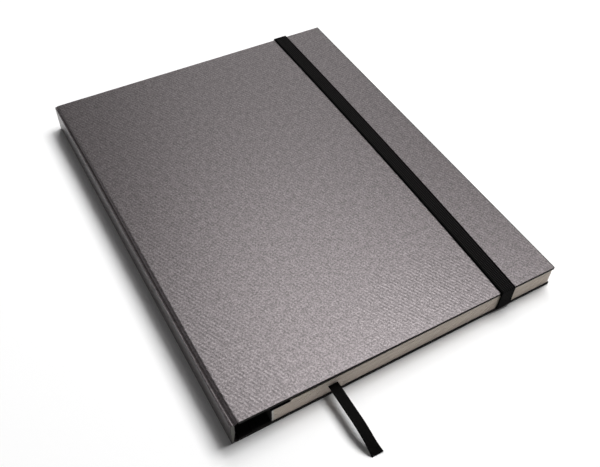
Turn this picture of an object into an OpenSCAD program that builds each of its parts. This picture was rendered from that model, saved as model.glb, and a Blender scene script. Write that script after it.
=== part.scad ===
// Slim notebook with a wrap-around paper case, a square hollow spine, an elastic closure
// and a ribbon marker. It lies closed on a table with its front cover upward.
// X runs from the spine to the fore edge, Y from the tail to the head and Z up from the
// table. The origin is the middle of the closed covers, on the table. Sizes are in mm.

/* [Cover] */
// Width of the closed notebook, from the spine face to the fore edge
cover_w = 190.5; // [120:0.5:260]
// Height of the covers, from the tail edge to the head edge
cover_h = 247.5; // [160:0.5:360]
// Thickness of the closed notebook at the spine
spine_h = 17.6; // [12:0.1:40]
// Thickness of the closed notebook at the fore edge
fore_h = 14.8; // [10:0.1:38]
// Thickness of the black board in each cover
board_t = 1.7; // [0.6:0.1:2.5]
// Thickness of the ribbed grey paper around the case
paper_t = 0.2; // [0.12:0.01:0.4]

/* [Folds] */
// Distance from the spine face to the spine edge of each cover board
joint_w = 4.3; // [3.9:0.1:7]
// Radius of the two long arrises of the spine
arris_r = 0.75; // [0.5:0.05:1.2]
// How far each arris stands below the outer face of its cover
arris_drop = 0.35; // [0.1:0.05:0.8]
// Radius of the pressed groove beside each arris
groove_r = 2.2; // [1.9:0.1:6]
// Radius of the paper over the spine edge of each cover board
shoulder_r = 0.9; // [0.6:0.05:1.2]
// Distance from the outer faces in to the line that each fold turns about
fold_in = 1.2; // [1:0.05:1.6]
// Distance from that line out to where the paper is parted for the fold
part_r = 1.45; // [1.35:0.05:1.6]
// Clearance between the two parted edges of the paper
part_gap = 0.06; // [0.03:0.01:0.1]

/* [Spine] */
// Thickness of the bare greyboard stiffener in the spine
stiffener_t = 1.9; // [1:0.1:2.6]
// Distance from the spine face to the back of the page block
hollow_w = 22.2; // [12:0.1:30]

/* [Page block] */
// Distance of the page edges inside the tail and head edges of the covers
page_inset = 0.45; // [0:0.05:4]
// Distance of the page edges inside the fore edge of the covers
fore_inset = 0.6; // [0:0.1:4]
// Air left under the front cover at the back of the block
cover_gap = 2.4; // [0.2:0.1:4]
// Air left under the front cover at the fore edge
fore_gap = 0.1; // [0.05:0.05:1]

/* [Lining] */
// Thickness of the liner paper glued down the back of the block
liner_t = 1.0; // [0.3:0.1:1.5]
// Thickness of the black cloth strip that holds the block
cloth_t = 0.6; // [0.2:0.1:0.8]
// Width of the strip over the first page
cloth_over = 9.8; // [5:0.1:20]
// Width of the strip glued down to the back board
cloth_under = 10; // [4:0.5:14]
// Depth that the strip and its glue press into the first pages
cloth_press = 1.3; // [0.8:0.1:1.6]

/* [Elastic] */
// Width of the elastic band
band_w = 9.4; // [4:0.1:20]
// Thickness of the elastic band
band_t = 0.8; // [0.4:0.05:1.2]
// Distance from the fore edge to the middle of the band
band_in = 31.2; // [12:0.1:60]
// Length of each end of the band, glued between the last page and the back board
tongue_l = 15; // [8:1:40]
// Clearance of the band from the cover edges
band_gap = 0.1; // [0.05:0.05:0.5]

/* [Ribbon] */
// Width of the ribbon marker
ribbon_w = 5.0; // [3:0.1:9]
// Thickness of the ribbon marker
ribbon_t = 0.3; // [0.2:0.05:0.4]
// Distance from the spine face to the middle of the ribbon
ribbon_x = 54.1; // [40:0.1:80]
// Height of the ribbon between the pages, above the table
ribbon_z = 8; // [5.5:0.1:10]
// Length of the ribbon that leaves the tail level, before it droops
ribbon_level = 20; // [5:1:40]
// Radius of the droop down to the table
ribbon_r = 22.5; // [20:0.5:80]
// Length of the ribbon between the pages
ribbon_inside = 235; // [100:1:340]

/* [Hidden] */
$fn = 96;
eps = 0.02;
cover_t = board_t + paper_t;
// The two halves of the case section are drawn this far past its middle, so that they join
half_lap = 0.5;
mid_z = spine_h / 2 - half_lap;
// The front cover slopes down to the fore edge about the fold line at the top of the spine
fold_top = [fold_in, spine_h - fold_in];
fold_foot = [fold_in, fold_in];
slope = asin((spine_h - fore_h) / (cover_w - fold_in));
function under_cover(x) = spine_h - cover_t - (x - fold_in) * tan(slope);
// Three tangent arcs draw the fold: arris, groove and shoulder
arc_steps = 12;
arris_c = [arris_r, spine_h - arris_drop - arris_r];
shoulder_c = [joint_w + 0.3, spine_h - shoulder_r];
span = norm(shoulder_c - arris_c);
along = (shoulder_c - arris_c) / span;
reach = (pow(span, 2) + pow(arris_r + groove_r, 2) - pow(shoulder_r + groove_r, 2)) / (2 * span);
rise = sqrt(pow(arris_r + groove_r, 2) - pow(reach, 2));
groove_c = arris_c + reach * along + rise * [-along[1], along[0]];
function heading(p, q) = atan2(q[1] - p[1], q[0] - p[0]);
to_arris = heading(groove_c, arris_c) + 360;
to_shoulder = heading(groove_c, shoulder_c) + 360;
function arc(c, r, from, to) = [for (i = [0 : arc_steps])
    let (a = from + (to - from) * i / arc_steps) c + r * [cos(a), sin(a)]];
// The page block
pages_x0 = hollow_w;
pages_x1 = cover_w - fore_inset;
pages_l = cover_h - 2 * page_inset;
pages_back_z = under_cover(pages_x0) - cover_gap;
pages_fore_z = under_cover(pages_x1) - fore_gap;
function pages_top(x) = pages_back_z
    + (pages_fore_z - pages_back_z) * (x - pages_x0) / (pages_x1 - pages_x0);
pages_slope = atan((pages_back_z - pages_fore_z) / (pages_x1 - pages_x0));
cloth_x0 = pages_x0 - liner_t - cloth_t;
cloth_x1 = pages_x0 + cloth_over - 1;
press_z = pages_top(cloth_x1) - cloth_press;
// The elastic
band_x0 = cover_w - band_in - band_w / 2;
band_top = under_cover(band_x0) + cover_t + band_gap;
band_out = band_gap + band_t;
tongue_z = cover_t + 0.05;
// The ribbon's droop ends where its lower corner meets the table
droop_c = [page_inset - ribbon_level, ribbon_z - ribbon_r];
droop = acos((eps - droop_c[1]) / (ribbon_r - ribbon_t / 2));

// Places a part drawn from the corner where the spine, the tail and the table meet
module placed() translate([-cover_w / 2, -cover_h / 2, 0]) children();

// A section in X and Z run from y0 for a length in Y
module run_y(y0, len) translate([0, y0 + len, 0]) rotate([90, 0, 0])
    linear_extrude(height = len) children();

// A section in Y and Z run from x0 for a length in X
module run_x(x0, len) translate([x0, 0, 0]) rotate([90, 0, 90])
    linear_extrude(height = len) children();

// The same section turned over about the middle height of the spine
module turned_over() translate([0, spine_h]) mirror([0, 1]) children();

// Front cover tipped about its fold line, so that it lies on the thinner fore edge
module tipped() translate([fold_top[0], 0, fold_top[1]]) rotate([0, slope, 0])
    translate([-fold_top[0], 0, -fold_top[1]]) children();

// Upper half of the case section, solid up to its outer face less a skin
module case_half(skin) polygon(concat(
    [[skin, mid_z]],
    arc(arris_c, arris_r - skin, 180, to_arris - 180),
    arc(groove_c, groove_r + skin, to_arris, to_shoulder),
    arc(shoulder_c, shoulder_r - skin, to_shoulder - 180, 90),
    [[cover_w, spine_h - skin], [cover_w, mid_z]]));

// Covering paper of the upper half of the case
module case_skin() difference() {
    case_half(0);
    case_half(paper_t);
}

// Covering paper of one cover, outside the parting at its fold
module cover_skin() difference() {
    intersection() {
        case_skin();
        translate([fold_top[0], spine_h / 2]) square([cover_w, spine_h]);
    }
    translate(fold_top) circle(part_r + part_gap);
}

// Board of one cover, under its covering
module cover_board() intersection() {
    case_half(paper_t);
    translate([joint_w, spine_h - cover_t]) square([cover_w - joint_w, cover_t]);
}

// Covering paper of half the spine, inside the parting at its fold
module spine_skin() intersection() {
    case_skin();
    union() {
        translate([0, mid_z]) square([fold_top[0], spine_h - mid_z]);
        translate(fold_top) circle(part_r);
    }
}

// Stiffener of half the spine, under its covering
module spine_core() intersection() {
    case_half(paper_t);
    translate([0, mid_z]) square([paper_t + stiffener_t, spine_h - mid_z]);
}

// Loop of the elastic in Y and Z, from the outside less a wall
module band_loop(wall, bottom) {
    w = cover_h + 2 * (band_out - wall);
    r = max(band_out - wall, eps);
    top = band_top + band_t - wall;
    translate([wall - band_out, bottom]) square([w, top - r - bottom]);
    translate([wall - band_out + r, bottom]) square([w - 2 * r, top - bottom]);
    for (y = [wall - band_out + r, cover_h + band_out - wall - r])
        translate([y, top - r]) circle(r);
}

// Black board inside the back cover, its cut edges left bare
module back_board() placed() color("#141414")
    run_y(0, cover_h) turned_over() cover_board();

// Ribbed grey paper outside the back board, ending in the pressed groove
module back_covering() placed() color("#8e898b")
    run_y(0, cover_h) turned_over() cover_skin();

// Pages glued at the back into one block, thinner at the fore edge
module page_block() placed() color("#d8cfb8") difference() {
    run_y(page_inset, pages_l) difference() {
        polygon([[pages_x0, cover_t], [pages_x1, cover_t],
                 [pages_x1, pages_fore_z], [pages_x0, pages_back_z]]);
        translate([pages_x0 - 1, press_z]) square([cloth_x1 - pages_x0 + 1, spine_h]);
    }
    // Room for the ribbon, pinched between two leaves
    translate([ribbon_x - ribbon_w / 2, page_inset - 1, ribbon_z - ribbon_t / 2])
        cube([ribbon_w, ribbon_inside + 1, ribbon_t]);
    // Last pages dented by the glued ends of the elastic
    for (y = [-1, cover_h - tongue_l])
        translate([band_x0 - band_gap, y, cover_t - 1])
            cube([band_w + 2 * band_gap, tongue_l + 1, 1 + band_t + 2 * eps + 0.05]);
}

// Liner paper glued down the back of the block
module spine_liner() placed() color("#b9b4ac")
    translate([pages_x0 - liner_t, page_inset, cover_t])
        cube([liner_t, pages_l, press_z - cover_t]);

// Black cloth strip over the first page, down the back and under onto the back board
module hinge_strip() placed() color("#161616") run_y(page_inset, pages_l) {
    translate([cloth_x0, press_z]) square([cloth_x1 - cloth_x0, cloth_t]);
    translate([cloth_x0, cover_t]) square([cloth_t, press_z + cloth_t - cover_t]);
    translate([cloth_x0 - cloth_under, cover_t]) square([cloth_under + cloth_t, cloth_t]);
}

// Elastic band around the closed covers, its ends turned in over the back board
module elastic_band() placed() color("#121212") run_x(band_x0, band_w) {
    difference() {
        band_loop(0, tongue_z);
        band_loop(band_t, tongue_z - 1);
    }
    for (y = [-band_out, cover_h - tongue_l])
        translate([y, tongue_z]) square([tongue_l + band_out, band_t]);
}

// Ribbon marker, level out of the pages and then drooping to the table
module ribbon_marker() placed() color("#171717") run_x(ribbon_x - ribbon_w / 2, ribbon_w) {
    translate([droop_c[0], ribbon_z - ribbon_t / 2])
        square([ribbon_inside + page_inset - droop_c[0] - 1, ribbon_t]);
    translate(droop_c) intersection() {
        difference() {
            circle(ribbon_r + ribbon_t / 2);
            circle(ribbon_r - ribbon_t / 2);
        }
        polygon([[0, 0], [0, 1.5 * ribbon_r],
                 1.5 * ribbon_r * [-sin(droop), cos(droop)]]);
    }
}

// Greyboard stiffener of the hollow spine
module spine_stiffener() placed() color("#aaa59f") run_y(0, cover_h) {
    spine_core();
    turned_over() spine_core();
}

// Ribbed grey paper around the spine and into both grooves
module spine_covering() placed() color("#8e898b") run_y(0, cover_h) {
    spine_skin();
    turned_over() spine_skin();
}

// Black board inside the front cover, its cut edges left bare
module front_board() placed() color("#141414") tipped() run_y(0, cover_h) cover_board();

// Ribbed grey paper outside the front board, ending in the pressed groove
module front_covering() placed() color("#8e898b") tipped() run_y(0, cover_h) cover_skin();

back_board();
back_covering();
page_block();
spine_liner();
hinge_strip();
elastic_band();
ribbon_marker();
spine_stiffener();
spine_covering();
front_board();
front_covering();
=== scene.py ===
import math
import random

import bpy
from mathutils import Matrix, Vector


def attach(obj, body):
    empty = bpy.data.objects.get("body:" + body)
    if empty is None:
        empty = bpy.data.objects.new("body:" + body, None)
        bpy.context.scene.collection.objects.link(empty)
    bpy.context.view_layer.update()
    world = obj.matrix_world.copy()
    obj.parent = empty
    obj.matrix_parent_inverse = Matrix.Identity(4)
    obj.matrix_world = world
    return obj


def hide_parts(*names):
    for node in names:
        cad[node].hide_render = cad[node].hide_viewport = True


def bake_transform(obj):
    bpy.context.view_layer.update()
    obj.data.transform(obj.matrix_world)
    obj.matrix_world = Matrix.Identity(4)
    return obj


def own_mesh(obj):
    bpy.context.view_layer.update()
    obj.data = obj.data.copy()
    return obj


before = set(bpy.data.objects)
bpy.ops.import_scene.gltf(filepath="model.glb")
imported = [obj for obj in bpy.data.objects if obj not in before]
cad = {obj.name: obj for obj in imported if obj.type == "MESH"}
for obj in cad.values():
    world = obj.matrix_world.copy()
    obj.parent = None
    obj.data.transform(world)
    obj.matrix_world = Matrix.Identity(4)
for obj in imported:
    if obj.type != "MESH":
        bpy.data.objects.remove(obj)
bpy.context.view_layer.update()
mm = 0.001

# Camera
# The notebook is seen from beside its tail, from the spine's side, looking down steeply.
# Turn, rise and lean of the camera are those of the photograph.
camera_turn = math.radians(-30.716)
camera_rise = math.radians(49.2475)
camera_lean = math.radians(1.4906)
camera_place = Vector((-148.89, -270.39, 327.54)) * mm
backward = Vector((
    math.sin(camera_turn) * math.cos(camera_rise),
    -math.cos(camera_turn) * math.cos(camera_rise),
    math.sin(camera_rise),
))
level_right = (-backward).cross(Vector((0, 0, 1))).normalized()
level_down = (-backward).cross(level_right)
right = level_right * math.cos(camera_lean) - level_down * math.sin(camera_lean)
down = level_right * math.sin(camera_lean) + level_down * math.cos(camera_lean)
camera_data = bpy.data.cameras.new("camera")
camera_data.sensor_width = 36
camera_data.lens = 45.542
camera_data.clip_start = 0.01
camera = bpy.data.objects.new("camera", camera_data)
camera.matrix_world = Matrix((
    (right.x, -down.x, backward.x, camera_place.x),
    (right.y, -down.y, backward.y, camera_place.y),
    (right.z, -down.z, backward.z, camera_place.z),
    (0, 0, 0, 1),
))
bpy.context.scene.collection.objects.link(camera)
bpy.context.scene.camera = camera
bpy.context.scene.view_settings.view_transform = "Standard"

# Ribbon marker
# A narrow woven ribbon, black, with a firm selvedge on each side and cross ribs. It is
# pinched between two leaves, leaves the tail level and droops until its cut end rests on
# the table. It drifts a little toward the fore edge, and its end flares and twists.
cover_w, cover_h = 190.5, 247.5
half_w, half_h = cover_w / 2, cover_h / 2
pages_y = 0.45
ribbon_w, ribbon_t = 5.0, 0.3
ribbon_from_spine = 54.1
ribbon_x = ribbon_from_spine - half_w
ribbon_z = 8.0
ribbon_exit_y = pages_y - half_h
ribbon_level, ribbon_r = 20.0, 22.5
table_gap = 0.02
ribbon_turn = math.acos((table_gap - (ribbon_z - ribbon_r)) / (ribbon_r - ribbon_t / 2))
ribbon_free = ribbon_level + ribbon_r * ribbon_turn
ribbon_rib, ribbon_rib_h = 0.36, 0.022


def ribbon_point(s):
    """Place and heading of the ribbon's middle, s mm beyond the pages, before it twists."""
    if s < ribbon_level:
        return ribbon_exit_y - s, ribbon_z, 0.0
    a = (s - ribbon_level) / ribbon_r
    return (
        ribbon_exit_y - ribbon_level - ribbon_r * math.sin(a),
        ribbon_z - ribbon_r * (1 - math.cos(a)),
        a,
    )


def new_piece(name, verts, faces, smooth=True):
    """A mesh object from points in mm and faces."""
    mesh = bpy.data.meshes.new(name)
    mesh.from_pydata([(x * mm, y * mm, z * mm) for x, y, z in verts], [], faces)
    mesh.validate()
    mesh.update()
    for polygon in mesh.polygons:
        polygon.use_smooth = smooth
    piece = bpy.data.objects.new(name, mesh)
    bpy.context.scene.collection.objects.link(piece)
    return piece


def loop_faces(rows, around):
    """Faces of a tube with closed ends, whose rows each have the same number of points."""
    faces = []
    for i in range(rows - 1):
        for j in range(around):
            k = (j + 1) % around
            faces.append((i * around + j, i * around + k, (i + 1) * around + k, (i + 1) * around + j))
    faces.append(tuple(range(around))[::-1])
    faces.append(tuple((rows - 1) * around + j for j in range(around)))
    return faces


ribbon_rows, ribbon_across, path_step = 232, 24, 6
# It starts a little inside the pages. Over its last 9 mm it turns, widens, lifts and frays.
tucked_in, flared = 1.8, 9.0
end_twist, end_flare, end_lift, end_skew, end_fray = 0.2, 0.2, 0.15, 0.8, 0.12
drawn_wide = 1.08
exit_drift, end_drift, drift_curve = 0.1, 1.7, 5
# Shares of its thickness at the rounded edges and between them, and of its width where the
# selvedges lie and where the cross ribs weaken
round_share, round_t, round_rise, body_t = 0.05, 0.55, 0.45, 0.86
selvedge_in, selvedge_out, selvedge_h = 0.4, 0.47, 0.02
weak_rib_from, weak_rib = 0.42, 0.5
verts = []
rng = random.Random(4)
for i in range(ribbon_rows):
    s = -tucked_in + (ribbon_free + tucked_in) * i / (ribbon_rows - 1)
    y, z, a = ribbon_point(s)
    last = max(0.0, (s - ribbon_free + flared) / flared)
    twist = end_twist * last * last
    lift = end_lift * last * last
    width = ribbon_w * (drawn_wide + end_flare * last * last)
    drift = exit_drift + end_drift * max(0.0, s / ribbon_free) ** drift_curve
    rib = ribbon_rib_h * math.cos(2 * math.pi * s / ribbon_rib)
    jitter = rng.uniform(-end_fray, end_fray) if i == ribbon_rows - 1 else 0
    around = []
    for side in (1, -1):
        for j in range(ribbon_across + 1):
            u = (j / ribbon_across - 0.5) * side
            edge = min(1.0, (0.5 - abs(u)) / round_share)
            thick = ribbon_t / 2 * (round_t + round_rise * math.sqrt(edge) if edge < 1 else body_t)
            selvedge = selvedge_h if selvedge_in < abs(u) < selvedge_out else 0.0
            h = side * (thick + selvedge + rib * (weak_rib if abs(u) > weak_rib_from else 1.0))
            across = u * width
            px = ribbon_x + drift + across * math.cos(twist) - h * math.sin(twist)
            up = across * math.sin(twist) + h * math.cos(twist) + lift
            py = y + jitter - up * math.sin(a) + end_skew * u * last
            pz = z + up * math.cos(a)
            around.append((px, py, max(pz, table_gap)))
    verts += around
ribbon = new_piece("ribbon_weave", verts, loop_faces(ribbon_rows, 2 * (ribbon_across + 1)))


def new_group(name, inputs, outputs):
    """An empty shader node group with named sockets; a default of three numbers is a vector."""
    tree = bpy.data.node_groups.new(name, "ShaderNodeTree")
    for socket, default in inputs:
        kind = "NodeSocketVector" if isinstance(default, tuple) else "NodeSocketFloat"
        made = tree.interface.new_socket(socket, in_out="INPUT", socket_type=kind)
        if default != (0, 0, 0):
            made.default_value = default
    for socket, kind in outputs:
        tree.interface.new_socket(socket, in_out="OUTPUT", socket_type="NodeSocket" + kind)
    return tree, tree.nodes.new("NodeGroupInput"), tree.nodes.new("NodeGroupOutput")


def math_node(tree, operation, a, b=None, clamp=False):
    """A Math node with each input a number or a socket."""
    node = tree.nodes.new("ShaderNodeMath")
    node.operation = operation
    node.use_clamp = clamp
    for socket, value in zip(node.inputs, (a, b)):
        if value is None:
            continue
        if isinstance(value, (int, float)):
            socket.default_value = value
        else:
            tree.links.new(value, socket)
    return node.outputs[0]


# Warp threads side by side along X and weft threads along Y, with their pitches in millimetres.
weave_group, g_in, g_out = new_group(
    "woven threads",
    [("Position", (0, 0, 0)), ("Warp Pitch", 0.4), ("Weft Pitch", 0.4), ("Warp Share", 0.5)],
    [("Height", "Float")],
)
split = weave_group.nodes.new("ShaderNodeSeparateXYZ")
weave_group.links.new(g_in.outputs["Position"], split.inputs[0])


def thread_wave(axis, pitch):
    """Threads side by side along an axis, as a wave of -1..1."""
    turns = math_node(weave_group, "MULTIPLY", split.outputs[axis], 2 * math.pi / mm)
    return math_node(weave_group, "SINE", math_node(weave_group, "DIVIDE", turns, g_in.outputs[pitch]))


warp, weft = thread_wave("X", "Warp Pitch"), thread_wave("Y", "Weft Pitch")
warp_part = math_node(weave_group, "MULTIPLY", warp, g_in.outputs["Warp Share"])
weft_part = math_node(
    weave_group, "MULTIPLY", weft, math_node(weave_group, "SUBTRACT", 1.0, g_in.outputs["Warp Share"]))
over_under = math_node(weave_group, "MULTIPLY", math_node(weave_group, "MULTIPLY", warp, weft), 0.5)
total = math_node(weave_group, "ADD", math_node(weave_group, "ADD", warp_part, weft_part), over_under)
weave_group.links.new(math_node(weave_group, "MULTIPLY", total, 0.5), g_out.inputs["Height"])


def new_material(name):
    """A material with its node tree, its Principled shader and object coordinates."""
    material = bpy.data.materials.new(name)
    material.use_nodes = True
    tree = material.node_tree
    shader = next(n for n in tree.nodes if n.type == "BSDF_PRINCIPLED")
    place = tree.nodes.new("ShaderNodeTexCoord").outputs["Object"]
    return material, tree, shader, place


def put_group(tree, group, values):
    """One placed node group with its values, each a number, a tuple or a socket."""
    node = tree.nodes.new("ShaderNodeGroup")
    node.node_tree = group
    for socket, value in values.items():
        if isinstance(value, (int, float, tuple)):
            node.inputs[socket].default_value = value
        else:
            tree.links.new(value, node.inputs[socket])
    return node


def noise(tree, place, scale, detail=4.0, rough=0.55, stretch=None):
    """Noise by features per metre, stretched along the axes if asked."""
    if stretch:
        mapping = tree.nodes.new("ShaderNodeMapping")
        mapping.inputs["Scale"].default_value = stretch
        tree.links.new(place, mapping.inputs["Vector"])
        place = mapping.outputs[0]
    node = tree.nodes.new("ShaderNodeTexNoise")
    node.inputs["Scale"].default_value = scale
    node.inputs["Detail"].default_value = detail
    node.inputs["Roughness"].default_value = rough
    tree.links.new(place, node.inputs["Vector"])
    return node.outputs["Fac"]


def ramp(tree, value, stops):
    """A colour ramp from (place, colour) pairs."""
    node = tree.nodes.new("ShaderNodeValToRGB")
    while len(node.color_ramp.elements) < len(stops):
        node.color_ramp.elements.new(0.5)
    for element, (place, colour) in zip(node.color_ramp.elements, stops):
        element.position = place
        element.color = (*colour, 1)
    tree.links.new(value, node.inputs["Fac"])
    return node.outputs["Color"]


def spread(tree, value, low, high):
    """A noise value from 0.3..0.7 spread to low..high."""
    node = tree.nodes.new("ShaderNodeMapRange")
    node.inputs["From Min"].default_value = 0.3
    node.inputs["From Max"].default_value = 0.7
    node.inputs["To Min"].default_value = low
    node.inputs["To Max"].default_value = high
    tree.links.new(value, node.inputs["Value"])
    return node.outputs["Result"]


def bump(tree, shader, height, depth):
    """Relief of a height of 0..1 by its depth in mm."""
    node = tree.nodes.new("ShaderNodeBump")
    node.inputs["Strength"].default_value = 1.0
    node.inputs["Distance"].default_value = depth * mm
    tree.links.new(height, node.inputs["Height"])
    tree.links.new(node.outputs["Normal"], shader.inputs["Normal"])


ribbon_cloth, tree, shader, place = new_material("black ribbon")
weave = put_group(tree, weave_group, {
    "Position": place, "Warp Pitch": 0.31, "Weft Pitch": ribbon_rib, "Warp Share": 0.55})
lint = noise(tree, place, 900, 5)
tree.links.new(ramp(tree, lint, [(0.3, (0.002, 0.0019, 0.0018)), (0.7, (0.006, 0.0056, 0.0054))]),
               shader.inputs["Base Color"])
tree.links.new(spread(tree, lint, 0.6, 0.85), shader.inputs["Roughness"])
shader.inputs["Specular IOR Level"].default_value = 0.03
bump(tree, shader, weave.outputs["Height"], 0.05)
ribbon.data.materials.append(ribbon_cloth)
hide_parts("ribbon_marker")
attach(ribbon, "book")

# Cover boards
# Two sheets of black-dyed board, 1.7 mm thick. Their cut edges are bare, flush with the paper
# at the tail and just beyond it at the head and the fore edge, so the board's layers show.
board_black, tree, shader, place = new_material("black dyed board")
layers = noise(tree, place, 300, 5, 0.6, stretch=(1, 1, 14))
fibres = noise(tree, place, 1600, 4, 0.6)
tree.links.new(ramp(tree, layers, [(0.3, (0.004, 0.0036, 0.0033)), (0.72, (0.012, 0.0108, 0.0098))]),
               shader.inputs["Base Color"])
tree.links.new(spread(tree, fibres, 0.72, 0.9), shader.inputs["Roughness"])
shader.inputs["Specular IOR Level"].default_value = 0.15
bump(tree, shader, math_node(tree, "ADD", layers, fibres), 0.04)


def finish_node(node, material, edge=None):
    """Gives a carried-over node its material and, if asked, softened edges of that radius in mm."""
    piece = cad[node]
    if not piece.material_slots:
        piece.data.materials.append(material)
    for one in piece.material_slots:
        one.link = "OBJECT"
        one.material = material
    if edge:
        soften = piece.modifiers.new("softened edges", "BEVEL")
        soften.width = edge * mm
        soften.segments = 2
        soften.limit_method = "ANGLE"
        soften.angle_limit = math.radians(40)


finish_node("front_board", board_black, 0.06)
finish_node("back_board", board_black, 0.06)

# Covering paper
# One sheet of dark pearlescent paper, embossed with fine slanting ribs, glued around the
# front board, the spine and the back board and pressed into a groove beside each arris.
paper_t, joint_w = 0.2, 4.3
spine_h, fore_h = 17.6, 14.8
arris_r, arris_drop, fold_in = 0.35, 0.1, 1.2
cover_slope = math.asin((spine_h - fore_h) / (cover_w - fold_in))
paper_fore, paper_head = 0.6, 0.3
# The paper bends with its cover from here to joint_w, and the back cover has the section
# that the front one has at plain_y
bend_x, plain_y = 1.9, 100
tail_shift, tail_fade = 1.05, 28
wall_w, wall_curve, shoulder_curve = 1.0, 1.7, 2.4
face_steps, arris_steps, ledge_steps, wall_steps, shoulder_steps, flat_steps = 6, 8, 4, 10, 18, 40
groove_points = face_steps + arris_steps + 1 + ledge_steps + wall_steps


def smooth(t):
    """A share of 0..1 that starts and ends gently."""
    t = min(1.0, max(0.0, t))
    return t * t * (3 - 2 * t)


def along(y, start, end, before, after):
    """A measure that goes gently from one value to another between two places along the spine."""
    return before + (after - before) * smooth((y - start) / (end - start))


def fold_line(y):
    """Half the outer section of the case in X and Z, y mm from the tail, from the middle of the
    spine to the fore edge. The groove lies closer to the arris at the head than at the tail."""
    groove_x = along(y, 170, 248, 1.3, 0.85) + tail_shift * math.exp(-y / tail_fade)
    groove_deep = along(y, cover_h - 10, cover_h - 2, 1.35, 0.5)
    shoulder_w = along(y, 110, 225, 2.4, 1.7)
    # The ledge between the arris and the groove leans to the spine at the tail. Its cut ends
    # are pressed down, more at the head.
    ledge_x = max(arris_r, groove_x - wall_w)
    ledge_slope = along(y, 35, 70, -0.23, 0.35)
    near_end = min(y, cover_h - paper_head - y)
    pressed = along(near_end, 0, 2.2, 0.4 if y > half_h else 0.1, 0)
    ledge_z = spine_h - arris_drop - pressed + min(0, ledge_slope) * (ledge_x - arris_r)
    face_top = ledge_z - arris_r
    line = [Vector((0, spine_h / 2 + (face_top - spine_h / 2) * i / face_steps)) for i in range(face_steps)]
    for i in range(arris_steps + 1):
        a = math.pi - math.pi / 2 * i / arris_steps
        line.append(Vector((arris_r + arris_r * math.cos(a), face_top + arris_r * math.sin(a))))
    for i in range(1, ledge_steps + wall_steps + 1):
        on_ledge, down_wall = min(1, i / ledge_steps), max(0, (i - ledge_steps) / wall_steps)
        x = arris_r + (ledge_x - arris_r) * on_ledge + (groove_x - ledge_x) * down_wall
        fall = ledge_slope * (ledge_x - arris_r) * on_ledge * (1 - i / (ledge_steps + wall_steps))
        z = ledge_z - fall - (ledge_z - spine_h + groove_deep) * down_wall ** wall_curve
        line.append(Vector((x, z)))
    for i in range(1, shoulder_steps + 1):
        t = i / shoulder_steps
        line.append(Vector((groove_x + shoulder_w * t, spine_h - groove_deep * (1 - t) ** shoulder_curve)))
    last = line[-1].x
    fore = cover_w - paper_fore
    return line + [Vector((last + (fore - last) * i / flat_steps, spine_h)) for i in range(1, flat_steps + 1)]


# Distances from the tail for the rows of the long sheets, close together at both ends
close_rows = (0, 0.3, 0.7, 1.1, 1.6, 2.2, 4, 7, 11, 15, 20, 26, 33, 42, 52, 63, 75, 88)
row_end = cover_h - paper_head
row_places = close_rows + tuple(100 + (row_end - 4 - 100) * i / 12 for i in range(13))
row_places += tuple(row_end - d for d in close_rows[5::-1])


def under_line(line, skin):
    """The line that lies a skin's thickness inside a section."""
    inner = []
    for i, p in enumerate(line):
        heading = (line[min(i + 1, len(line) - 1)] - line[max(i - 1, 0)]).normalized()
        inner.append(p + Vector((heading.y, -heading.x)) * skin)
    return inner


def case_point(p, tipped):
    """A point of the section in the frame, tipped down to the fore edge if it is past the groove."""
    x, z = p.x, p.y
    if tipped:
        share = min(1, max(0, (x - bend_x) / (joint_w - bend_x)))
        a = -cover_slope * share
        dx, dz = x - fold_in, z - (spine_h - fold_in)
        x = fold_in + dx * math.cos(a) - dz * math.sin(a)
        z = spine_h - fold_in + dx * math.sin(a) + dz * math.cos(a)
    return x - half_w, z


def half_cover(name, turned_over):
    """The paper over one cover and half the spine, as one closed thin sheet. The front one tips
    down to the fore edge, and the back one is the plain section turned over."""
    rows = len(row_places)
    verts = []
    for y in row_places:
        outer = fold_line(plain_y if turned_over else y)
        ring = [case_point(p, not turned_over) for p in outer + under_line(outer, paper_t)[::-1]]
        verts += [(x, y - half_h, spine_h - z if turned_over else z) for x, z in ring]
    n, m = len(outer), len(ring)
    faces = []
    for i in range(rows - 1):
        for j in range(m):
            k = (j + 1) % m
            quad = (i * m + j, i * m + k, (i + 1) * m + k, (i + 1) * m + j)
            faces.append(quad if turned_over else quad[::-1])
    for i in (0, rows - 1):
        for j in range(n - 1):
            quad = (i * m + j, i * m + j + 1, i * m + m - 2 - j, i * m + m - 1 - j)
            faces.append(quad if (i == 0) != turned_over else quad[::-1])
    sheet = new_piece(name, verts, faces)
    sheet.data.set_sharp_from_angle(angle=math.radians(50))
    # The cut edges at the head, the tail and the fore edge are black
    cut_x = (half_w - paper_fore - 0.01) * mm
    for polygon in sheet.data.polygons:
        if abs(polygon.normal.y) > 0.9 or polygon.center.x > cut_x:
            polygon.material_index = 1
    return sheet


pearl_group, g_in, g_out = new_group(
    "ribbed pearl paper",
    [("Position", (0, 0, 0)), ("Side", 1.0), ("Rib Pitch", 1.86 * mm), ("Rib Turn", 0.454)],
    [("Color", "Color"), ("Roughness", "Float"), ("Height", "Float")],
)
split = pearl_group.nodes.new("ShaderNodeSeparateXYZ")
pearl_group.links.new(g_in.outputs["Position"], split.inputs[0])
rib_wander = 0.6 * mm
rib_relief, mottle_relief, grain_relief = 0.27, 0.2, 0.25
rib_painted_shade, cloud_tone = 0.05, 0.3
paper_dark, paper_grey, paper_pale = (0.046, 0.040, 0.041), (0.082, 0.0715, 0.0735), (0.135, 0.119, 0.123)


def pearl_math(operation, a, b=None):
    """A Math node in the pearl paper's group."""
    return math_node(pearl_group, operation, a, b)


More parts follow.
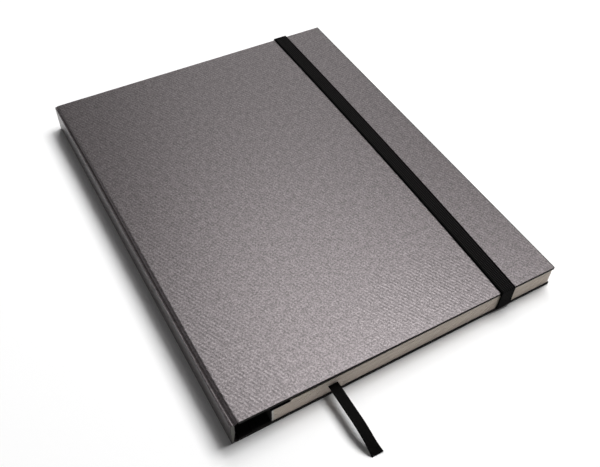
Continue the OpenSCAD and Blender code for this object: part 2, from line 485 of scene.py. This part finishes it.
# The place on the sheet as it lay flat before it was folded round the boards
from_spine = pearl_math("MULTIPLY", split.outputs["X"], g_in.outputs["Side"])
unrolled = pearl_math("ADD", from_spine, split.outputs["Z"])
sheet_place = pearl_group.nodes.new("ShaderNodeCombineXYZ")
pearl_group.links.new(unrolled, sheet_place.inputs["X"])
pearl_group.links.new(split.outputs["Y"], sheet_place.inputs["Y"])
sheet_place = sheet_place.outputs[0]
# Slanting ribs that wander a little and are broken in places
across_x = pearl_math("MULTIPLY", unrolled, pearl_math("COSINE", g_in.outputs["Rib Turn"]))
across_y = pearl_math("MULTIPLY", split.outputs["Y"], pearl_math("SINE", g_in.outputs["Rib Turn"]))
wander = pearl_math("MULTIPLY", noise(pearl_group, sheet_place, 120, 2, 0.5), rib_wander)
across = pearl_math("ADD", pearl_math("ADD", across_x, across_y), wander)
turns = pearl_math("DIVIDE", pearl_math("MULTIPLY", across, 2 * math.pi), g_in.outputs["Rib Pitch"])
broken = spread(pearl_group, noise(pearl_group, sheet_place, 260, 3, 0.6), 0.15, 1.0)
rib = pearl_math("MULTIPLY", pearl_math("SINE", turns), broken)
# Relief, colour and gloss. The colour carries random flecks and clouds, and painted shade of the ribs.
mottle = noise(pearl_group, sheet_place, 640, 4, 0.66)
grain = noise(pearl_group, sheet_place, 1500, 3, 0.6)
height = pearl_math("ADD", pearl_math("MULTIPLY", rib, rib_relief), pearl_math(
    "ADD", pearl_math("MULTIPLY", mottle, mottle_relief), pearl_math("MULTIPLY", grain, grain_relief)))
pearl_group.links.new(height, g_out.inputs["Height"])
# The ribs also lighten and darken the colour a little: painted light and shade of their relief
tone_and_rib_shade = pearl_math("ADD", noise(pearl_group, sheet_place, 1150, 3, 0.7), pearl_math("MULTIPLY", rib, rib_painted_shade))
cloud = pearl_math("SUBTRACT", noise(pearl_group, sheet_place, 300, 2, 0.8), 0.5)
tone_and_rib_shade = pearl_math("ADD", tone_and_rib_shade, pearl_math("MULTIPLY", cloud, cloud_tone))
tones = ramp(pearl_group, tone_and_rib_shade, [(0.375, paper_dark), (0.5, paper_grey), (0.625, paper_pale)])
pearl_group.links.new(tones, g_out.inputs["Color"])
pearl_group.links.new(spread(pearl_group, mottle, 0.375, 0.305), g_out.inputs["Roughness"])


def pearl_paper(name, side):
    """The covering paper's material; side is 1 over the front and the spine, -1 under the back."""
    material, tree, shader, place = new_material(name)
    sheet = put_group(tree, pearl_group, {"Position": place, "Side": side})
    tree.links.new(sheet.outputs["Color"], shader.inputs["Base Color"])
    tree.links.new(sheet.outputs["Roughness"], shader.inputs["Roughness"])
    shader.inputs["Metallic"].default_value = 0.6
    bump(tree, shader, sheet.outputs["Height"], 0.08)
    return material


for name, finish, node, body, side in (
    ("front_paper", "pearl paper, front", "front_covering", "front_cover", 1.0),
    ("back_paper", "pearl paper, back", "back_covering", "book", -1.0),
):
    sheet = half_cover(name, turned_over=side < 0)
    sheet.data.materials.append(pearl_paper(finish, side))
    sheet.data.materials.append(board_black)
    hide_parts(node, "spine_covering")
    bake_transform(sheet)

# Spine stiffener
# A strip of bare greyboard, glued inside the paper, that keeps the spine square. Its cut
# ends show at the head and the tail as a light strip beside the hollow.
stiffener_x, glue_t = 2.1, 0.02
verts = []
for y in row_places:
    upper = under_line(fold_line(y)[:groove_points], paper_t + glue_t)
    lower = under_line(fold_line(plain_y)[:groove_points], paper_t + glue_t)[:0:-1]
    ring = [(p.x, p.y) for p in upper] + [(stiffener_x, spine_h / 2)] + [(p.x, spine_h - p.y) for p in lower]
    verts += [(min(x, stiffener_x) - half_w, y - half_h, z) for x, z in ring]
stiffener = new_piece("stiffener_strip", verts, loop_faces(len(row_places), len(ring)), smooth=False)
greyboard, tree, shader, place = new_material("greyboard")
layers = noise(tree, place, 420, 5, 0.6, stretch=(10, 1, 1))
specks = noise(tree, place, 1500, 3, 0.5)
tree.links.new(ramp(tree, layers, [(0.3, (0.085, 0.083, 0.075)), (0.7, (0.135, 0.132, 0.12))]),
               shader.inputs["Base Color"])
tree.links.new(spread(tree, specks, 0.8, 0.95), shader.inputs["Roughness"])
bump(tree, shader, math_node(tree, "ADD", layers, specks), 0.05)
stiffener.data.materials.append(greyboard)
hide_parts("spine_stiffener")
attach(stiffener, "spine")

# Page block
# Some ninety leaves of cream paper, glued at the back and trimmed together. They are
# pressed thinner under the cloth strip, and open a little where the ribbon lies.
leaf_count, leaf_share = 92, 0.9
pages_fore = 0.6
pages_x0, pages_x1 = 22.2, cover_w - pages_fore
cover_t = 1.9
# The room under the front cover at the back of the block and at its fore edge
back_room, fore_room = 2.4, 0.1
# The cloth lies this far over the first page and presses it, and the ribbon parts the leaves
cloth_over, press_deep, press_fade = 8.8, 1.3, 0.9
parted_w, parted_fade = 6.5, 3.6
# Leaves stand out or in a little, in batches of nine and one by one
batch_leaves = 9
batch_out, fore_in, fore_over, leaf_out = 0.05, 0.06, 0.04, 0.03


def under_cover(x):
    """Height of the front cover's inner face, x mm from the spine."""
    return spine_h - cover_t - (x - fold_in) * math.tan(cover_slope)


pages_back_z, pages_fore_z = under_cover(pages_x0) - back_room, under_cover(pages_x1) - fore_room
cloth_x1 = pages_x0 + cloth_over


def pages_top(x):
    """Height of the first page where nothing presses it, x mm from the spine."""
    return pages_back_z + (pages_fore_z - pages_back_z) * (x - pages_x0) / (pages_x1 - pages_x0)


press_z = pages_top(cloth_x1) - press_deep


def leaf_z(x, share):
    """Height of the page at a share of the block's thickness."""
    full = pages_top(x)
    pressed = full + (press_z - full) * (1 - smooth((x - cloth_x1) / press_fade))
    z = cover_t + (pressed - cover_t) * share
    gap = ribbon_t / 2 * smooth((parted_w - abs(x - ribbon_from_spine)) / parted_fade)
    middle = (ribbon_z - cover_t) / (full - cover_t)
    if share >= middle:
        return z + gap * (1 - share) / (1 - middle)
    return z - gap * share / middle


# Distances from the spine, close together at the cloth's edge and beside the ribbon
columns = [pages_x0, 24, 26, 28, 30, 31, 31.2, 31.4, 31.6, 31.8, 32, 34, 38, 43,
           47.2, 48.2, 49.2, 50.2, 51.2, 52.2, ribbon_from_spine, 56, 57, 58, 59, 60, 61,
           65, 75, 90, 105, 120, 135, 150, 162, 174, 183, 188, pages_x1]
rng = random.Random(11)
verts, faces = [], []
for leaf in range(leaf_count):
    batch = random.Random(leaf // batch_leaves)
    tail_out = batch.uniform(-batch_out, batch_out) + rng.uniform(-leaf_out, leaf_out)
    head_out = batch.uniform(-batch_out, batch_out) + rng.uniform(-leaf_out, leaf_out)
    fore_out = batch.uniform(-fore_in, fore_over) + rng.uniform(-leaf_out, leaf_out)
    first = len(verts)
    for x in columns:
        px = x + fore_out if x == pages_x1 else x
        low, high = leaf_z(x, leaf / leaf_count), leaf_z(x, (leaf + leaf_share) / leaf_count)
        for y, z in ((pages_y - tail_out, low), (cover_h - pages_y + head_out, low),
                     (cover_h - pages_y + head_out, high), (pages_y - tail_out, high)):
            verts.append((px - half_w, y - half_h, z))
    faces += [tuple(first + v for v in face) for face in loop_faces(len(columns), 4)]
pages = new_piece("leaves", verts, faces, smooth=False)
page_paper, tree, shader, place = new_material("cream page paper")
# The tone follows the leaves: Z is the share of the block's thickness at that distance from the spine
split = tree.nodes.new("ShaderNodeSeparateXYZ")
tree.links.new(place, split.inputs[0])
leaf_slope = (pages_fore_z - pages_back_z) / (pages_x1 - pages_x0)
block_t = math_node(tree, "ADD", math_node(tree, "MULTIPLY", split.outputs["X"], leaf_slope),
                    (pages_top(half_w) - cover_t) * mm)
share = math_node(tree, "DIVIDE", math_node(tree, "SUBTRACT", split.outputs["Z"], cover_t * mm), block_t)
leaf_place = tree.nodes.new("ShaderNodeCombineXYZ")
for socket, value, rate in (
    ("X", split.outputs["X"], 0.1),
    ("Y", split.outputs["Y"], 0.1),
    ("Z", share, 0.3),
):
    tree.links.new(math_node(tree, "MULTIPLY", value, rate), leaf_place.inputs[socket])
tone = noise(tree, leaf_place.outputs[0], 60, 3, 0.5)
tooth = noise(tree, place, 2600, 3, 0.6)
tree.links.new(ramp(tree, tone, [(0.3, (0.64, 0.56, 0.485)), (0.7, (0.74, 0.66, 0.585))]),
               shader.inputs["Base Color"])
tree.links.new(spread(tree, tooth, 0.75, 0.92), shader.inputs["Roughness"])
shader.inputs["Specular IOR Level"].default_value = 0.3
bump(tree, shader, tooth, 0.02)
pages.data.materials.append(page_paper)
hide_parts("page_block")
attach(pages, "book")

# Spine liner and cloth strip
# Light liner paper is glued down the back of the pages. Over it a strip of black cloth
# runs from the first page, down the back and onto the back board, and holds the block.
liner, tree, shader, place = new_material("liner paper")
pulp = noise(tree, place, 1100, 4, 0.6)
tree.links.new(ramp(tree, pulp, [(0.3, (0.56, 0.53, 0.49)), (0.7, (0.68, 0.66, 0.62))]),
               shader.inputs["Base Color"])
tree.links.new(spread(tree, pulp, 0.8, 0.95), shader.inputs["Roughness"])
bump(tree, shader, pulp, 0.05)
finish_node("spine_liner", liner)
cloth, tree, shader, place = new_material("black book cloth")
turned = tree.nodes.new("ShaderNodeSeparateXYZ")
tree.links.new(place, turned.inputs[0])
wrapped = tree.nodes.new("ShaderNodeCombineXYZ")
tree.links.new(math_node(tree, "ADD", turned.outputs["X"], turned.outputs["Z"]), wrapped.inputs["X"])
tree.links.new(turned.outputs["Y"], wrapped.inputs["Y"])
weave = put_group(tree, weave_group, {
    "Position": wrapped.outputs[0], "Warp Pitch": 0.42, "Weft Pitch": 0.42, "Warp Share": 0.5})
slub = noise(tree, place, 800, 4, 0.6)
tree.links.new(ramp(tree, slub, [(0.3, (0.004, 0.0037, 0.0034)), (0.7, (0.012, 0.011, 0.010))]),
               shader.inputs["Base Color"])
tree.links.new(spread(tree, slub, 0.7, 0.9), shader.inputs["Roughness"])
shader.inputs["Specular IOR Level"].default_value = 0.12
bump(tree, shader, weave.outputs["Height"], 0.08)
finish_node("hinge_strip", cloth, 0.12)

# Elastic band
# A flat woven elastic with lengthwise ribs, stretched round both covers near the fore
# edge and bowed toward it. Its ends are glued between the last page and the back board.
band_w, band_t, band_gap = 9.4, 0.8, 0.1
band_from_fore, glued_gap = 31.2, 0.05
band_mid = cover_w - band_from_fore
band_low = cover_t + glued_gap
band_top = under_cover(band_mid - band_w / 2) + cover_t + band_gap
# The length of its glued ends and the radius at its corners
tongue, turn = 15.0, 0.55
band_ribs, rib_h = 8, 0.1
# The solid keeps a gap over the front cover, and the drawn band closes it
low, high, out = band_low + band_t / 2, band_top + band_t / 2 - band_gap, band_gap + band_t / 2
corners = [(tongue, low), (-out, low), (-out, high),
           (cover_h + out, high), (cover_h + out, low), (cover_h - tongue, low)]
corner_steps = 8
centre_line = []
for i, corner in enumerate(corners):
    p = Vector(corner)
    if i in (0, len(corners) - 1):
        centre_line.append(p)
        continue
    before = (Vector(corners[i - 1]) - p).normalized()
    after = (Vector(corners[i + 1]) - p).normalized()
    middle = p + (before + after) * turn
    for k in range(corner_steps + 1):
        a = k / corner_steps * math.pi / 2
        centre_line.append(middle - after * turn * math.cos(a) - before * turn * math.sin(a))
bow_shift, bow_lean, bow_deep, bow_y = -0.2, 0.65, 1.6, 135


def band_bow(y):
    """How far the elastic lies toward the fore edge of its straight line, y mm from the tail."""
    return bow_shift + bow_lean * (y - half_h) / half_h + bow_deep * (1 - ((y - bow_y) / bow_y) ** 2)


row_step = 2.2
fine = [centre_line[0]]
for p, q in zip(centre_line, centre_line[1:]):
    count = max(1, round((q - p).length / row_step))
    fine += [p + (q - p) * (k + 1) / count for k in range(count)]
across_count = band_ribs * 7
rim_share, rim_t, rim_rise = 0.035, 0.45, 0.55
drawn_w = band_w - 0.15
verts = []
for i, p in enumerate(fine):
    heading = (fine[min(i + 1, len(fine) - 1)] - fine[max(i - 1, 0)]).normalized()
    normal = Vector((heading.y, -heading.x))
    on_top = smooth((p.y - low) / (high - low))
    drift = band_bow(p.x)
    for side in (1, -1):
        for j in range(across_count + 1):
            u = (j / across_count - 0.5) * side
            ridge = abs(math.sin(math.pi * band_ribs * (u + 0.5)))
            edge = min(1.0, (0.5 - abs(u)) / rim_share)
            thick = (band_t / 2 - rib_h + rib_h * ridge) * (rim_t + rim_rise * math.sqrt(edge))
            x = band_mid + drift + u * drawn_w
            h = -side * thick
            tilt = -(x - band_mid) * math.tan(cover_slope) * on_top
            verts.append((x - half_w, p.x + normal.x * h - half_h, p.y + normal.y * h + tilt))
band = new_piece("elastic_weave", verts, loop_faces(len(fine), 2 * (across_count + 1)))
elastic, tree, shader, place = new_material("black elastic")
split = tree.nodes.new("ShaderNodeSeparateXYZ")
tree.links.new(place, split.inputs[0])
# The same bow in nodes, so that the threads run along the band
from_mid = math_node(tree, "ADD", split.outputs["Y"], (half_h - bow_y) * mm)
bow_curve = math_node(tree, "POWER", math_node(tree, "MULTIPLY", from_mid, 1 / (bow_y * mm)), 2.0)
bow = math_node(tree, "MULTIPLY", math_node(tree, "SUBTRACT", 1.0, bow_curve), bow_deep * mm)
bow = math_node(tree, "ADD", bow, math_node(tree, "MULTIPLY", split.outputs["Y"], bow_lean / half_h))
across = math_node(tree, "SUBTRACT", split.outputs["X"], (band_mid - half_w + bow_shift) * mm)
across = math_node(tree, "SUBTRACT", across, bow)
rib_pitch = band_w / band_ribs
band_place = tree.nodes.new("ShaderNodeCombineXYZ")
tree.links.new(math_node(tree, "ADD", across, (band_w / 2 - rib_pitch / 4) * mm), band_place.inputs["X"])
tree.links.new(math_node(tree, "ADD", split.outputs["Y"], split.outputs["Z"]), band_place.inputs["Y"])
weave = put_group(tree, weave_group, {
    "Position": band_place.outputs[0], "Warp Pitch": rib_pitch, "Weft Pitch": 0.95, "Warp Share": 0.5})
threads = noise(tree, place, 1300, 4, 0.6)
# The threads fade out into a black margin on both sides
margin_at, margin_fade = 0.43 * band_w, 0.25
inside = math_node(tree, "SUBTRACT", margin_at * mm, math_node(tree, "ABSOLUTE", across))
inside = math_node(tree, "MULTIPLY", inside, 1 / (margin_fade * mm), clamp=True)
tone = math_node(tree, "MULTIPLY", math_node(tree, "ADD", weave.outputs["Height"], threads), inside)
tree.links.new(ramp(tree, tone, [(0.45, (0.0003, 0.0003, 0.0003)), (1.0, (0.024, 0.0225, 0.0225))]),
               shader.inputs["Base Color"])
tree.links.new(spread(tree, threads, 0.6, 0.85), shader.inputs["Roughness"])
shader.inputs["Specular IOR Level"].default_value = 0.02
bump(tree, shader, threads, 0.06)
band.data.materials.append(elastic)
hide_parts("elastic_band")
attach(band, "book")
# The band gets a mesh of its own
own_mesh(band)

# Floor and light
# A plain white table. Three soft lamps stand beyond the fore edge and the head, one of them
# lower, and the room adds a little pale light. To the camera the table glows weakly, less
# near the notebook, so that it looks white and its shadow stays.
floor_half = 3
floor_mesh = bpy.data.meshes.new("table")
floor_mesh.from_pydata(
    [(x * floor_half, y * floor_half, 0) for x, y in ((-1, -1), (1, -1), (1, 1), (-1, 1))], [], [(0, 1, 2, 3)])
floor = bpy.data.objects.new("table", floor_mesh)
bpy.context.scene.collection.objects.link(floor)
table_top, tree, shader, place = new_material("white table")
shader.inputs["Base Color"].default_value = (0.96, 0.96, 0.96, 1)
shader.inputs["Roughness"].default_value = 0.9
shader.inputs["Specular IOR Level"].default_value = 0.1
shader.inputs["Emission Color"].default_value = (1, 1, 1, 1)


def seen_rays(tree):
    """1 for the rays that show the background to the camera, straight, mirrored or through glass."""
    rays = tree.nodes.new("ShaderNodeLightPath").outputs
    mirrored = math_node(tree, "ADD", rays["Is Glossy Ray"], rays["Is Transmission Ray"])
    return math_node(tree, "ADD", rays["Is Camera Ray"], mirrored, clamp=True)


near_r, far_r, near_glow, far_glow = 0.25, 1.3, 0.03, 0.9
far = tree.nodes.new("ShaderNodeVectorMath")
far.operation = "LENGTH"
tree.links.new(place, far.inputs[0])
far_off = tree.nodes.new("ShaderNodeMapRange")
far_off.interpolation_type = "SMOOTHSTEP"
for socket, value in (("From Min", near_r), ("From Max", far_r), ("To Min", near_glow), ("To Max", far_glow)):
    far_off.inputs[socket].default_value = value
tree.links.new(far.outputs["Value"], far_off.inputs["Value"])
tree.links.new(math_node(tree, "MULTIPLY", seen_rays(tree), far_off.outputs["Result"]),
               shader.inputs["Emission Strength"])
floor.data.materials.append(table_top)

lamp_w = 1.1
for name, place, energy in (
    ("fore lamp", (1.14, 0.14, 2.337), 55),
    ("head lamp", (0.764, 1.052, 2.252), 26),
    ("low lamp", (0.988, 1.857, 1.528), 5),
):
    lamp_data = bpy.data.lights.new(name, "AREA")
    lamp_data.shape = "SQUARE"
    lamp_data.size = lamp_w
    lamp_data.energy = energy
    lamp = bpy.data.objects.new(name, lamp_data)
    lamp.location = place
    lamp.rotation_euler = (-lamp.location).to_track_quat("-Z", "Y").to_euler()
    bpy.context.scene.collection.objects.link(lamp)

world = bpy.data.worlds.new("pale room")
world.use_nodes = True
bpy.context.scene.world = world
sky = world.node_tree.nodes["Background"]
sky.inputs["Color"].default_value = (1, 1, 1, 1)
room_light, room_white = 0.035, 1.0
# The walls look white to the camera and in reflections, and the ceiling is dark
wall_top, ceiling_from = 0.35, 0.6
tree = world.node_tree
toward = tree.nodes.new("ShaderNodeSeparateXYZ")
tree.links.new(tree.nodes.new("ShaderNodeTexCoord").outputs["Generated"], toward.inputs[0])
backdrop = tree.nodes.new("ShaderNodeMapRange")
backdrop.interpolation_type = "SMOOTHSTEP"
for socket, value in (
    ("From Min", wall_top),
    ("From Max", ceiling_from),
    ("To Min", room_white - room_light),
    ("To Max", 0),
):
    backdrop.inputs[socket].default_value = value
tree.links.new(toward.outputs["Z"], backdrop.inputs["Value"])
shown = math_node(tree, "MULTIPLY", seen_rays(tree), backdrop.outputs["Result"])
tree.links.new(math_node(tree, "ADD", shown, room_light), sky.inputs["Strength"])
